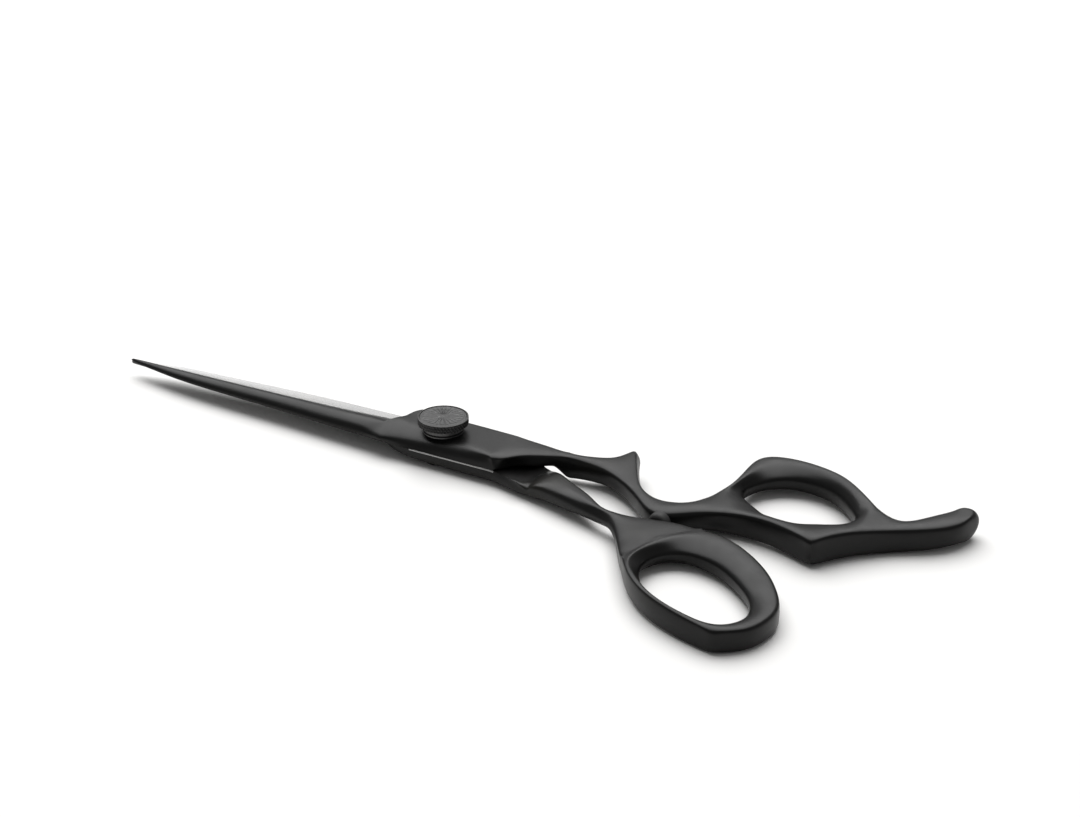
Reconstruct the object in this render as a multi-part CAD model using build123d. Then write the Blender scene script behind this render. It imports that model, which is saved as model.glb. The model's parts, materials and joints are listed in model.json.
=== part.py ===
from build123d import *
import os

# Hair cutting shears, closed and lying flat. Millimetres.
# Origin: pivot axis on the resting plane. +X from the blade tips to the rings,
# +Y to the finger ring side, +Z up. The finger half is the upper blade.

# ---- Driving dimensions -------------------------------------------------------------
LAP_Z = 3.0            # plane where the two halves meet
LAP_GAP = 0.1          # clearance between the inner faces
BLADE_T = 2.45         # thickness of each half at the pivot
LAP_R = 24.5           # round relief in each half, so that they swing past each other
LAP_RAMP_R = 2.4       # rounding where that relief runs out into the handle
BLOCK_R = 2.1          # rounding along the spine side of each pivot block
HANDLE_EDGE_R = 1.0    # rounding outside the handles
HOLE_EDGE_R = 1.0      # rounding inside the rings
LONG_EDGE = 14         # the handles' long edges, which are rounded, are longer than this
SLAB_HALF = 60         # half width of the slabs that set the handles' height
HANDLE_CUT = 5         # height of the relief cut above the thumb half

# Pivot stack, from the bolt head up
HEAD_R = 3.8
HEAD_T = 1.3
SPANNER_R = 0.5
SPANNER_X = 2.4
NECK = 4.4             # square neck, keyed in the thumb half
JOURNAL_R = 2.0
THREAD_R = 1.3
KEY_HALF = 1.1         # from the axis to each flat on the threaded end
BOLT_END = 7.3
RUNNING_FIT = 0.04
BUSH_R = 2.8
BUSH_FLANGE_R = 3.6
BUSH_FLANGE_T = 0.5
RIDE_R = 4.6           # nylon washer between the halves
RIDE_RECESS = 0.1
RIDE_PROUD = 0.09
THRUST_R = 3.8
THRUST_T = 0.2
SPRING_R = 3.5
SPRING_BORE_R = 2.4
SPRING_T = 0.3
CLICK_R = 3.7
CLICK_T = 0.5
TRACK_R = 3.1          # circle that the detent balls run on
TRACK_HALF = 0.45
TRACK_DEPTH = 0.1
BALL_R = 0.4
BALL_COUNT = 3
DIMPLE_COUNT = 24

# Tension dial and its cap
DIAL_R = 4.72
DIAL_TOP = 8.45
DIAL_RIM_T = 1.4
DIAL_BEVEL = 0.25
DIAL_COLLAR_R = 3.8
DIAL_CLEARANCE = 0.05
DIAL_WEB_T = 0.55      # threaded web
DIAL_CAVITY_R = 2.0
KNURL_COUNT = 60
KNURL_R = 0.16
CAP_R = 4.3
CAP_T = 0.3
CAP_DROP = 0.1         # disc face below the rim
PETAL_COUNT = 12
PETAL_T = 0.06
SCREW_R = 0.8
SCREW_HEAD_R = 1.7
SCREW_HEAD_T = 0.32
SCREW_LENGTH = 2.4

# Rubber stop between the handles
BUMPER_X = 48.6
BUMPER_SEAT_Y = -7.0
BUMPER_END_Y = -8.9
BUMPER_R = 1.9
BUMPER_DOME_R = 1.0
STUD_R = 0.85
STUD_BURIED = 3.0
STUD_IN_RUBBER = 1.2

# Blade sections from the pivot block to the tip: x, then across the blade the spine,
# crest and cutting edge, then the crest's height above the lap plane.
FINGER_BLADE = [(-6.0, -5.4, -2.4, 3.6, 2.4), (-13.0, -5.2, -2.1, 2.8, 2.3), (-22.0, -4.8, -1.9, 1.7, 2.1),
                (-33.0, -4.1, -1.7, 1.4, 1.85), (-46.0, -3.6, -1.5, 1.0, 1.55),
                (-58.0, -2.8, -1.1, 0.8, 1.2), (-66.0, -1.5, -0.5, 0.6, 0.85), (-73.1, -0.35, 0.0, 0.3, 0.5)]
THUMB_BLADE = [(-6.0, 5.6, 2.6, -3.4, 2.4), (-13.0, 5.6, 2.4, -2.6, 2.3), (-22.0, 5.4, 2.2, -1.5, 2.1),
               (-33.0, 5.0, 2.0, -1.1, 1.85), (-46.0, 4.0, 1.7, -0.8, 1.55),
               (-58.0, 3.1, 1.2, -0.7, 1.2), (-66.0, 1.8, 0.6, -0.5, 0.85), (-73.1, 0.4, 0.0, -0.3, 0.5)]

# Side profiles of the handles: x, height above the resting plane
FINGER_TOP = [(10, 5.45), (24, 5.2), (34, 4.9), (45, 4.8), (56, 5.1), (68, 5.5), (76, 5.6), (85, 5.1), (96, 5.6)]
FINGER_UNDER = [(10, 0.6), (24, 0.8), (34, 1.1), (45, 1.2), (56, 0.9), (66, 0.6), (76, 0.3), (84, 0.1), (96, 0.6)]
THUMB_TOP = [(10, 5.3), (28, 4.9), (40, 4.4), (50, 4.7), (60, 4.9), (70, 4.6), (79, 4.3)]
THUMB_UNDER = [(10, 0.55), (20, 0.7), (28, 1.1), (40, 1.5), (50, 0.9), (60, 0.3), (70, 0.08), (79, 0.1)]

FINGER_FACE_Z = LAP_Z + LAP_GAP / 2
THUMB_FACE_Z = LAP_Z - LAP_GAP / 2
THRUST_Z = FINGER_FACE_Z + BLADE_T
SPRING_Z = THRUST_Z + THRUST_T
CLICK_Z = SPRING_Z + SPRING_T
DIAL_Z = CLICK_Z + CLICK_T + DIAL_CLEARANCE
CAP_Z = DIAL_TOP - CAP_DROP - CAP_T
BALL_Z = CLICK_Z + CLICK_T - TRACK_DEPTH + DIAL_CLEARANCE + BALL_R


def disc(radius, z, height):
    return Pos(0, 0, z) * extrude(Circle(radius), height)


def washer(outer, inner, z, height):
    return disc(outer, z, height) - disc(inner, z, height)


def flatted(radius, half, z, height):
    """Round bar with two flats."""
    section = Circle(radius) & Rectangle(2 * half, 4 * radius)
    return Pos(0, 0, z) * extrude(section, height)


def bar_along_y(radius, x, start_y, end_y):
    """Round bar at lap height, from start_y down to end_y."""
    plane = Plane(origin=(x, start_y, LAP_Z), x_dir=(1, 0, 0), z_dir=(0, -1, 0))
    return extrude(plane * Circle(radius), start_y - end_y)


# ---- The two forged halves ----------------------------------------------------------
def blade(stations, face_z, side):
    """Convex blade through its sections; side is +1 above the lap plane and -1 below."""
    sections = []
    for x, spine, crest, edge, rise in stations:
        across = Plane(origin=(x, 0, face_z), x_dir=(0, 1, 0), z_dir=(1, 0, 0))
        foot, top, sharp = (spine, 0), (crest, side * rise), (edge, 0)
        back = (spine + 0.1 * (crest - spine), side * 0.62 * rise)
        front = ((crest + edge) / 2, side * 0.6 * rise)
        outline = Line(sharp, foot) + ThreePointArc(foot, back, top) + ThreePointArc(top, front, sharp)
        sections.append(across * make_face(outline.edges()))
    return loft(sections)


def pivot_block(corners, face_z, side, spine_y):
    """Flat block around the pivot, rounded along its spine side."""
    outer_z = face_z + side * BLADE_T
    outline = Polyline(*corners, close=True)
    block = Pos(0, 0, min(face_z, outer_z)) * extrude(make_face(outline.edges()), BLADE_T)
    spine = block.edges().filter_by(
        lambda e: abs(e.center().Z - outer_z) < 0.01 and abs(e.center().Y - spine_y) < 0.01)
    return fillet(spine, BLOCK_R)


def side_slab(top, under):
    """Slab between an upper and a lower side profile, wide enough to hold a whole half."""
    upper = Spline(*top)
    lower = Spline(*reversed(under))
    outline = upper + Line(upper @ 1, lower @ 0) + lower + Line(lower @ 1, upper @ 0)
    return extrude(Plane.XZ.offset(-SLAB_HALF) * make_face(outline.edges()), 2 * SLAB_HALF)


def handle(outline, hole, top, under):
    """Shank and ring: the plan outline less the hole, cut to its side profile and rounded."""
    plan = make_face(outline.edges()) - make_face(hole.edges())
    body = Pos(0, 0, -1) * extrude(plan, 8) & side_slab(top, under)
    outside = body.edges().filter_by(
        lambda e: e.geom_type == GeomType.BSPLINE and not e.is_closed and e.length > LONG_EDGE)
    body = fillet(outside, HANDLE_EDGE_R)
    return fillet(body.edges().filter_by(lambda e: e.is_closed), HOLE_EDGE_R)


def lap_relief(z, height, end):
    """Round cutter; end is 0 to round its lower rim and -1 to round its upper rim."""
    cutter = disc(LAP_R, z, height)
    return fillet(cutter.edges().filter_by(GeomType.CIRCLE).sort_by(Axis.Z)[end], LAP_RAMP_R)


def finger_outline():
    far = Spline((12, 5.2), (21.5, 4.9), (25.6, 5.0), (28.8, 5.7), (31.2, 7.4), (33.9, 10.6))
    back = Spline((33.9, 10.6), (37.4, 5.2), (39.8, 1.5), (42.5, -1.1), (46.3, -2.5), (50.2, -1.6), (52.8, 1.6),
                  (54.0, 7), (54.1, 14.5), (56.6, 20.6), (61.4, 22.8), (66.6, 22.0), (71.8, 19.6), (77, 15.4),
                  (81.0, 12.0), (84.4, 11.2), (87.6, 13.4), (90.2, 17.2), (93.0, 20.6), (95.4, 19.6), (95.6, 16.0),
                  (93.6, 12.4), (90.4, 9.8), (86.0, 6.8), (81.6, 3.2), (75.4, -4.4))
    near = Spline((75.4, -4.4), (70, -3.1), (64, -1.9), (58.5, -2.2), (54.4, -3.9), (51.2, -6.2), (48.6, -7.4),
                  (46.0, -6.9), (43.0, -4.8), (39.5, -1.8), (36.2, 0.5), (32, 2.1), (27.5, 2.3), (22.5, 1.5),
                  (18.5, -0.4), (15.6, -3.0))
    return far + back + near + Line(near @ 1, far @ 0)


def finger_hole():
    return Spline((56.4, 9.8), (57.8, 13.8), (60.9, 16.7), (65, 17.9), (69.5, 16.9), (73.6, 13.9), (76.8, 10.3),
                  (77.3, 7.0), (75.4, 4.4), (71.8, 2.5), (67.8, 1.7), (63.6, 2.6), (60.0, 4.8), (57.4, 7.2),
                  periodic=True)


def thumb_outline():
    near = Spline((10, -5.2), (15, -5.5), (20.6, -7.0), (29.8, -9.5), (38, -11.6), (41.2, -12.9), (43.9, -15.4),
                  (46.8, -19.4), (50.2, -24.6), (53.8, -29.0), (58, -32.6), (63.6, -35.4), (68.2, -36.9),
                  (73.4, -37.8))
    far = Spline((73.4, -37.8), (75.8, -36.4), (77.2, -32.4), (78.0, -26.5), (77.0, -21.4), (71.8, -14.9),
                 (67.2, -11.6), (62.6, -9.4), (58.0, -8.5), (52.5, -8.4), (47, -9.6), (43.4, -10.1), (39.4, -9.6),
                 (33.9, -6.6), (28.2, -3.3), (24.5, -1.4), (20.6, 1.0), (16.5, 3.6), (10, 5.0))
    return near + far + Line(far @ 1, near @ 0)


def thumb_hole():
    return Spline((53.0, -22.2), (53.4, -18.9), (55.9, -16.6), (59.3, -15.7), (63, -16.3), (67.6, -18.7),
                  (71.6, -22), (74, -25.2), (74.9, -28.6), (74.4, -31.8), (72.3, -33.9), (68.6, -34.4),
                  (64.4, -33.4), (59.8, -31.1), (56.2, -28.3), (54, -25.4), periodic=True)


def finger_half():
    """Upper blade, pivot block, shank, finger ring and tang in one forging."""
    corners = [(-10.6, -5.4), (14, -5.4), (15.8, -3.2), (18, -0.8), (21, 2.5), (21, 4.9), (-8.1, 5.7), (-10.6, -0.4)]
    block = pivot_block(corners, FINGER_FACE_Z, 1, -5.4)
    grip = handle(finger_outline(), finger_hole(), FINGER_TOP, FINGER_UNDER)
    grip -= lap_relief(-1, FINGER_FACE_Z + 1, -1)
    half = block + grip + blade(FINGER_BLADE, FINGER_FACE_Z, 1)
    half -= disc(BUSH_R, FINGER_FACE_Z, BLADE_T) + disc(BUSH_FLANGE_R, FINGER_FACE_Z, BUSH_FLANGE_T)
    half -= bar_along_y(BUMPER_R, BUMPER_X, BUMPER_SEAT_Y, BUMPER_END_Y)
    return half - bar_along_y(STUD_R, BUMPER_X, BUMPER_SEAT_Y + STUD_BURIED, BUMPER_SEAT_Y)


def thumb_half():
    """Lower blade, pivot block, shank and thumb ring in one forging."""
    corners = [(-10.6, 5.6), (13, 5.6), (16.5, 3.6), (20.6, 1.0), (20.6, -6.9), (14, -5.3), (-8.1, -5.3), (-10.6, 0.6)]
    block = pivot_block(corners, THUMB_FACE_Z, -1, 5.6)
    grip = handle(thumb_outline(), thumb_hole(), THUMB_TOP, THUMB_UNDER)
    grip -= lap_relief(THUMB_FACE_Z, HANDLE_CUT, 0)
    half = block + grip + blade(THUMB_BLADE, THUMB_FACE_Z, -1)
    half -= Pos(0, 0, HEAD_T) * extrude(Rectangle(NECK, NECK), THUMB_FACE_Z - HEAD_T)
    half -= disc(HEAD_R, 0, HEAD_T)
    return half - disc(RIDE_R, THUMB_FACE_Z - RIDE_RECESS, RIDE_RECESS)


# ---- Pivot stack --------------------------------------------------------------------
def pivot_bolt():
    """Head, square neck, journal and flatted threaded end, drilled for the retaining screw."""
    neck_top = THUMB_FACE_Z - RIDE_RECESS
    journal_top = THRUST_Z + THRUST_T
    bolt = disc(HEAD_R, 0, HEAD_T)
    bolt += Pos(0, 0, HEAD_T) * extrude(Rectangle(NECK, NECK), neck_top - HEAD_T)
    bolt += disc(JOURNAL_R, neck_top, journal_top - neck_top)
    bolt += flatted(THREAD_R, KEY_HALF, journal_top, BOLT_END - journal_top)
    bolt -= disc(SCREW_R, BOLT_END - SCREW_LENGTH, SCREW_LENGTH)
    for x in (-SPANNER_X, SPANNER_X):
        bolt -= Pos(x, 0, 0) * disc(SPANNER_R, 0, HEAD_T / 2)
    return bolt


def pivot_bushing():
    bore = JOURNAL_R + RUNNING_FIT
    sleeve = washer(BUSH_R, bore, FINGER_FACE_Z, BLADE_T)
    return sleeve + washer(BUSH_FLANGE_R, bore, FINGER_FACE_Z, BUSH_FLANGE_T)


def ride_washer():
    return washer(RIDE_R, JOURNAL_R + RUNNING_FIT, THUMB_FACE_Z - RIDE_RECESS, RIDE_RECESS + RIDE_PROUD)


def thrust_washer():
    return washer(THRUST_R, JOURNAL_R + RUNNING_FIT, THRUST_Z, THRUST_T)


def wave_spring():
    return washer(SPRING_R, SPRING_BORE_R, SPRING_Z, SPRING_T)


def click_washer():
    """Washer keyed on the bolt's flats, with a ring of dimples in the track of the balls."""
    plate = disc(CLICK_R, CLICK_Z, CLICK_T)
    plate -= flatted(THREAD_R + RUNNING_FIT, KEY_HALF + RUNNING_FIT, CLICK_Z, CLICK_T)
    track_z = CLICK_Z + CLICK_T - TRACK_DEPTH
    plate -= washer(TRACK_R + TRACK_HALF, TRACK_R - TRACK_HALF, track_z, TRACK_DEPTH)
    for place in PolarLocations(TRACK_R, DIMPLE_COUNT):
        plate -= Pos(0, 0, track_z + BALL_R / 2) * place * Sphere(BALL_R * 0.8)
    return plate


def detent_balls():
    return Compound([Pos(0, 0, BALL_Z) * place * Sphere(BALL_R) for place in PolarLocations(TRACK_R, BALL_COUNT)])


def tension_dial():
    """Knurled thumb wheel, threaded on the bolt, with a collar below and a recess for the disc."""
    rim = Circle(DIAL_R)
    for place in PolarLocations(DIAL_R, KNURL_COUNT):
        rim -= place * Circle(KNURL_R)
    rim_z = DIAL_TOP - DIAL_RIM_T
    bevelled = disc(DIAL_R, rim_z, DIAL_RIM_T)
    bevelled = chamfer(bevelled.edges(), DIAL_BEVEL)
    dial = Pos(0, 0, rim_z) * extrude(rim, DIAL_RIM_T) & bevelled
    dial += disc(DIAL_COLLAR_R, DIAL_Z, DIAL_RIM_T)
    dial -= disc(THREAD_R + RUNNING_FIT, DIAL_Z, DIAL_TOP)
    dial -= disc(DIAL_CAVITY_R, DIAL_Z + DIAL_WEB_T, DIAL_TOP)
    dial -= disc(CAP_R, CAP_Z, DIAL_TOP)
    for place in PolarLocations(TRACK_R, BALL_COUNT):
        dial -= place * disc(BALL_R, DIAL_Z, BALL_Z + BALL_R - DIAL_Z)
    return dial


def dial_cap():
    """Pressed disc with plain raised petals round a boss."""
    cap = disc(CAP_R, CAP_Z, CAP_T) + disc(CAP_R * 0.16, CAP_Z, CAP_T + PETAL_T)
    petal = extrude(Ellipse(CAP_R * 0.32, CAP_R * 0.12), CAP_T + PETAL_T)
    for place in PolarLocations(CAP_R * 0.58, PETAL_COUNT):
        cap += Pos(0, 0, CAP_Z) * place * petal
    return cap


def retaining_screw():
    return disc(SCREW_HEAD_R, BOLT_END, SCREW_HEAD_T) + disc(SCREW_R, BOLT_END - SCREW_LENGTH, SCREW_LENGTH)


# ---- Rubber stop --------------------------------------------------------------------
def bumper_stud():
    return bar_along_y(STUD_R, BUMPER_X, BUMPER_SEAT_Y + STUD_BURIED, BUMPER_SEAT_Y - STUD_IN_RUBBER)


def bumper():
    stop = bar_along_y(BUMPER_R, BUMPER_X, BUMPER_SEAT_Y, BUMPER_END_Y)
    stop = fillet(stop.edges().sort_by(Axis.Y)[0], BUMPER_DOME_R)
    return stop - bar_along_y(STUD_R, BUMPER_X, BUMPER_SEAT_Y, BUMPER_SEAT_Y - STUD_IN_RUBBER)


PARTS = [finger_half, thumb_half, pivot_bolt, pivot_bushing, ride_washer, thrust_washer, wave_spring, click_washer,
         detent_balls, tension_dial, dial_cap, retaining_screw, bumper_stud, bumper]

os.makedirs("parts", exist_ok=True)
for make in PARTS:
    export_step(make(), f"parts/{make.__name__}.step")
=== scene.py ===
"""Hair cutting shears: the two forged halves as smooth subdivision surfaces, the knurled
tension dial with its disc, the rubber stop, and the finish of every other piece."""

import json
from math import cos, log2, pi, sin, sqrt

import bmesh
import bpy
from mathutils import Matrix, Vector


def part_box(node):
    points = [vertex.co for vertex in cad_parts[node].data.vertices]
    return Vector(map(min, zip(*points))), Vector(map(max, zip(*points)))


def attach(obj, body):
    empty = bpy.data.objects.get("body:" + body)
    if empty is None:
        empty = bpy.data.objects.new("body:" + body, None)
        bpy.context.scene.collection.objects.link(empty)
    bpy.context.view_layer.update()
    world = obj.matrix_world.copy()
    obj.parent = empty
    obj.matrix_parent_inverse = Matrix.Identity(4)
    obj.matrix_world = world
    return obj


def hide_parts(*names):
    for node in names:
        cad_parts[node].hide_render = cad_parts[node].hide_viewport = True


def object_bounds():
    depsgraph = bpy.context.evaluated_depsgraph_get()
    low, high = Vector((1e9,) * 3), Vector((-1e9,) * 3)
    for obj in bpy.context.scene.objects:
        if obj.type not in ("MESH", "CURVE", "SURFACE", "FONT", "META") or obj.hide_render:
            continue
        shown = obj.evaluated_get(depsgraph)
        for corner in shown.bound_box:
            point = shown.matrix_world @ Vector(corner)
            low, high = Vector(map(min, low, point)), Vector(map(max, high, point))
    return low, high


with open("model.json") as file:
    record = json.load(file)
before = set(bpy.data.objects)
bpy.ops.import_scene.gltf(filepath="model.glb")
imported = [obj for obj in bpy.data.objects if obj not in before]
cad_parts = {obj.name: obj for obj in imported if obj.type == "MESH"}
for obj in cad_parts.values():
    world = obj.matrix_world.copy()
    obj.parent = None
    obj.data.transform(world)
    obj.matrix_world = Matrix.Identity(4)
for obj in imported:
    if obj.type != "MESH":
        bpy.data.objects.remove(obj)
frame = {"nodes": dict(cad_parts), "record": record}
cad_low, cad_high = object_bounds()

# ---- Sizes in millimetres; MM turns them into the scene's metres ----------------------
MM = 0.001
LAP_Z = 3.0             # plane where the two halves meet
FACE_Z = 3.05           # lap face of a half, drawn lap face down
CROWN_Z = 5.5           # flat outer face of the pivot block
BLOCK_RISE = CROWN_Z - FACE_Z
EDGE_GAP = 0.05         # keeps the edges of the finger half's waist off the other half
LIP_GAP = 0.06          # the same for the thumb half's lip and notch
HOLLOW = 0.12           # depth of the hollow grind
TIP_REACH = 0.5         # how far a blade's point lies past its first loop
TIP_RISE = 0.2

SUBDIVISIONS = 3
FIT_ROUNDS = 10         # rounds of fitting the cage to its points
SHARP_ANGLE = 0.6       # radians: edges that turn more than this are shaded sharp
SOFT_RADIUS = 2         # rounding of an edge that has no crease
CREASE_SCALE = 10       # an edge's sharpness is this times its crease squared
CORNER = 1 - sqrt(0.5)  # share of its radius by which a rounding cuts a corner off

# A loop round a half has eight points: crown left, middle, right; right side; lap face
# right, middle, left; left side. Left is +Y, the crown is the side away from the lap.
CROWN_L, CROWN_M, CROWN_R, SIDE_R, LAP_R, LAP_M, LAP_L, SIDE_L = range(8)
LOOP = 8
# A quad goes by its first corner: those on the lap face, and those with the lip beside it
LAP_QUADS = (LAP_R, LAP_M)
LIP_QUADS = (*LAP_QUADS, LAP_L)

# Height of the handles: x, z
FINGER_TOP = [(10, 5.5), (24, 5.2), (34, 4.9), (45, 4.8), (56, 5.1), (68, 5.5), (76, 5.6),
              (85, 4.9), (96, 5.1)]
FINGER_UNDER = [(24, 0.8), (34, 1.1), (45, 1.2), (56, 0.9), (66, 0.6), (76, 0.4), (84, 0.1),
                (96, 0.9)]
THUMB_TOP = [(24, 4.2), (28, 4.5), (34, 4.55), (40, 4.4), (50, 4.7), (60, 4.9), (70, 4.6),
             (79, 4.2)]
THUMB_UNDER = [(10, 0.45), (20, 0.4), (28, 0.8), (40, 1.5), (50, 0.9), (60, 0.3), (70, 0.08),
               (79, 0.1)]

# Blades: x, then across the blade the spine, crest and edge, and the crest's height
FINGER_BLADE = [(-72.6, -0.3, 0.0, 0.25, 0.5), (-71, -0.75, -0.15, 0.4, 0.62),
                (-66, -1.6, -0.5, 0.6, 0.85), (-58, -2.8, -1.1, 0.8, 1.2),
                (-46, -3.6, -1.5, 1.0, 1.55), (-33, -4.15, -1.7, 1.4, 1.85),
                (-22, -4.8, -1.9, 2.1, 2.1), (-14, -5.2, -1.9, 2.9, 2.3)]
THUMB_BLADE = [(-72.6, -0.3, 0.0, 0.25, 0.5), (-71, -0.8, -0.2, 0.4, 0.62),
               (-66, -2.1, -0.6, 0.5, 0.85), (-58, -3.1, -1.2, 0.7, 1.2),
               (-46, -4.0, -1.7, 0.8, 1.55), (-33, -5.0, -2.0, 1.1, 1.85),
               (-22, -5.4, -2.2, 2.2, 2.1), (-14, -5.6, -2.3, 3.6, 2.3)]

# Corners of a blade's convex face: share of the way out from the crest, share of the rise
TO_EDGE_HIGH, TO_EDGE_LOW = (0.42, 0.78), (0.78, 0.38)
TO_SPINE_HIGH, TO_SPINE_LOW = (0.58, 0.8), (0.92, 0.42)
FAR_BEVEL = 0.08            # bevel along the block's far edge
SLOPE_CORNER = (0.26, 0.6)  # corner on the block's slope: share of its width, of the rise

DISH = 0.3              # how far a ring's upper face slopes down to the hole's edge
FAR_DISH = 0.25         # how much more it does on the far side
DISH_MIDDLE = 0.3       # share of the dish at the middle of the upper face


def share_of(value, start, end):
    """How far a value lies from start to end, kept between 0 and 1."""
    return min(max((value - start) / (end - start), 0), 1)


def height(profile, x):
    """Height on a side profile at x, between its points."""
    for (x0, z0), (x1, z1) in zip(profile, profile[1:]):
        if x <= x1:
            return z0 + share_of(x, x0, x1) * (z1 - z0)
    return profile[-1][1]


# ---- Cages ----------------------------------------------------------------------------
class Cage:
    """Quads of a subdivision surface whose points lie on the finished surface. A loop, row or
    opening is a list of eight point numbers."""

    def __init__(self):
        self.points = []
        self.quads = []
        self.bare_quads = []
        self.creases = {}

    def add(self, points):
        """Adds points and gives their numbers."""
        start = len(self.points)
        self.points += [Vector(p) for p in points]
        return list(range(start, len(self.points)))

    def skin(self, one, two, bare=()):
        """Quads between two loops; the bare ones show steel in place of the coating."""
        for i in range(LOOP):
            j = (i + 1) % LOOP
            if i in bare:
                self.bare_quads.append(len(self.quads))
            self.quads.append((one[i], one[j], two[j], two[i]))

    def crease(self, a, b, sharpness):
        self.creases[min(a, b), max(a, b)] = sharpness

    def crease_along(self, one, two, corners):
        for corner, sharpness in corners.items():
            self.crease(one[corner], two[corner], sharpness)

    def crease_across(self, loop, corners, sharpness):
        for a, b in zip(corners, corners[1:]):
            self.crease(loop[a], loop[b], sharpness)

    def grow(self, last, points, edges, bare=()):
        """Adds the next loop round the half and skins it to the last one."""
        row = self.add(points)
        self.skin(last, row, bare)
        self.crease_along(last, row, edges)
        return row

    def cap(self, loop, centre):
        """Closes a loop with four quads round a centre point."""
        middle = self.add([centre])[0]
        for i in range(0, LOOP, 2):
            self.quads.append((middle, loop[i], loop[i + 1], loop[(i + 2) % LOOP]))


def rounded(radius):
    """Crease of an edge that comes out rounded to about this radius."""
    return sqrt(max(log2(SOFT_RADIUS / radius), 0) / CREASE_SCALE)


def section(left, right, crown, lap, left_round, right_round, bulge=0.0):
    """Section between a left and a right plan point, with the radii of its edges. The left
    side may bulge beyond its edges."""
    left, right = Vector(left), Vector(right)
    inward = (right - left).normalized()
    middle = (left + right) / 2
    left_cut, right_cut = CORNER * left_round, CORNER * right_round
    left_crown = left + inward * (left_cut + bulge)
    left_lap = left + inward * (left_cut + bulge / 2)
    right_edge = right - inward * right_cut
    return [(*left_crown, crown - left_cut), (*middle, crown), (*right_edge, crown - right_cut),
            (*right, (crown + lap) / 2), (*right_edge, lap + right_cut), (*middle, lap),
            (*left_lap, lap + left_cut), (*left, (crown + lap) / 2)]


def blade_loop(x, spine, crest, edge, rise):
    """Convex from the edge over the crest to the spine, hollow on the lap face."""
    def corner(end, shares):
        out, up = shares
        return x, crest + out * (end - crest), FACE_Z + up * rise

    hollow = HOLLOW * min(rise, 1)
    return [corner(edge, TO_EDGE_HIGH), (x, crest, FACE_Z + rise), corner(spine, TO_SPINE_HIGH),
            corner(spine, TO_SPINE_LOW), (x, spine, FACE_Z),
            (x, (spine + edge) / 2, FACE_Z + hollow), (x, edge, FACE_Z), corner(edge, TO_EDGE_LOW)]


def block_loop(x, far, ridge, foot):
    """Flat crown from the far edge to the ridge, then a convex slope down to the foot."""
    across, up = SLOPE_CORNER
    return [(x, far - FAR_BEVEL, CROWN_Z - FAR_BEVEL), (x, (far + ridge) / 2, CROWN_Z),
            (x, ridge, CROWN_Z), (x, foot + across * (ridge - foot), FACE_Z + up * BLOCK_RISE),
            (x, foot, FACE_Z), (x, (far + foot) / 2, FACE_Z), (x, far, FACE_Z),
            (x, far, FACE_Z + 0.5 * BLOCK_RISE)]


def blade_and_shoulder(cage, stations, foot, top):
    """Blade from the tip to its shoulder, and the shoulder's wall between two given loops."""
    loops = [cage.add(blade_loop(*station)) for station in stations]
    cage.cap(loops[0], (stations[0][0] - TIP_REACH, 0, FACE_Z + TIP_RISE))
    loops += [cage.add(foot), cage.add(top)]
    for one, two in zip(loops, loops[1:]):
        cage.skin(one, two, LAP_QUADS)
        cage.crease_along(one, two, {LAP_R: 1, LAP_L: 1})
    cage.crease_across(loops[-2], (LAP_L, SIDE_L, CROWN_L), 0.7)
    cage.crease_across(loops[-2], (CROWN_L, CROWN_M), 0.4)
    cage.crease_across(loops[-1], (LAP_L, SIDE_L, CROWN_L, CROWN_M), 0.8)
    return loops[-1]


def ring(cage, stations, top, under, branch_middles, inner_top, dish):
    """Loops of a closed ring; at the middle of a branch the outer corners lie in its web. The
    upper face slopes down to the hole, by what the dish gives at the hole's edge."""
    outer_round, inner_round = 1.0, 2.0
    middle_top = LAP_M if inner_top == LAP_R else CROWN_M
    loops = []
    for i, (outer, inner) in enumerate(stations):
        x = (outer[0] + inner[0]) / 2
        points = section(outer, inner, top(x), under(x), outer_round, inner_round)
        for corner, share in ((middle_top, DISH_MIDDLE), (inner_top, 1)):
            px, py, pz = points[corner]
            points[corner] = (px, py, pz + share * dish(inner[1]))
        if i in branch_middles:
            points[CROWN_L] = (*outer, top(outer[0]))
            points[LAP_L] = (*outer, under(outer[0]))
        loops.append(cage.add(points))
    outer_edges = {CROWN_L: rounded(outer_round), LAP_L: rounded(outer_round)}
    inner_edges = {CROWN_R: rounded(inner_round), LAP_R: rounded(inner_round)}
    for s, one in enumerate(loops):
        after = (s + 1) % len(loops)
        cage.crease_along(one, loops[after], inner_edges)
        if s not in branch_middles and after not in branch_middles:
            cage.crease_along(one, loops[after], outer_edges)
    return loops


def close_ring(cage, loops, branches):
    """Skins the ring, leaving out the two by two quads where each branch joins it."""
    open_between = {b: set() for b in range(len(loops))}
    for left, middle, right in branches:
        for a in (left, right):
            first = min(a, middle) if abs(a - middle) == 1 else max(a, middle)
            open_between[first].add(a)
    for s, one in enumerate(loops):
        two = loops[(s + 1) % len(loops)]
        for i in range(LOOP):
            if open_between[s] and i in (LAP_L, SIDE_L):
                continue
            j = (i + 1) % LOOP
            cage.quads.append((one[i], one[j], two[j], two[i]))


def branch_boundary(loops, left, middle, right):
    """The ring's points round a branch's opening, in the order of a loop."""
    a, b, c = loops[left], loops[middle], loops[right]
    return [a[CROWN_L], b[CROWN_L], c[CROWN_L], c[SIDE_L], c[LAP_L], b[LAP_L], a[LAP_L], a[SIDE_L]]


def drop_unused(cage):
    """Leaves out points that no quad uses, such as those inside a branch's opening."""
    used = sorted({p for quad in cage.quads for p in quad})
    place = {p: i for i, p in enumerate(used)}
    cage.points = [cage.points[p] for p in used]
    cage.quads = [tuple(place[p] for p in quad) for quad in cage.quads]
    cage.creases = {(place[a], place[b]): sharpness
                    for (a, b), sharpness in cage.creases.items() if a in place and b in place}


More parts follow.
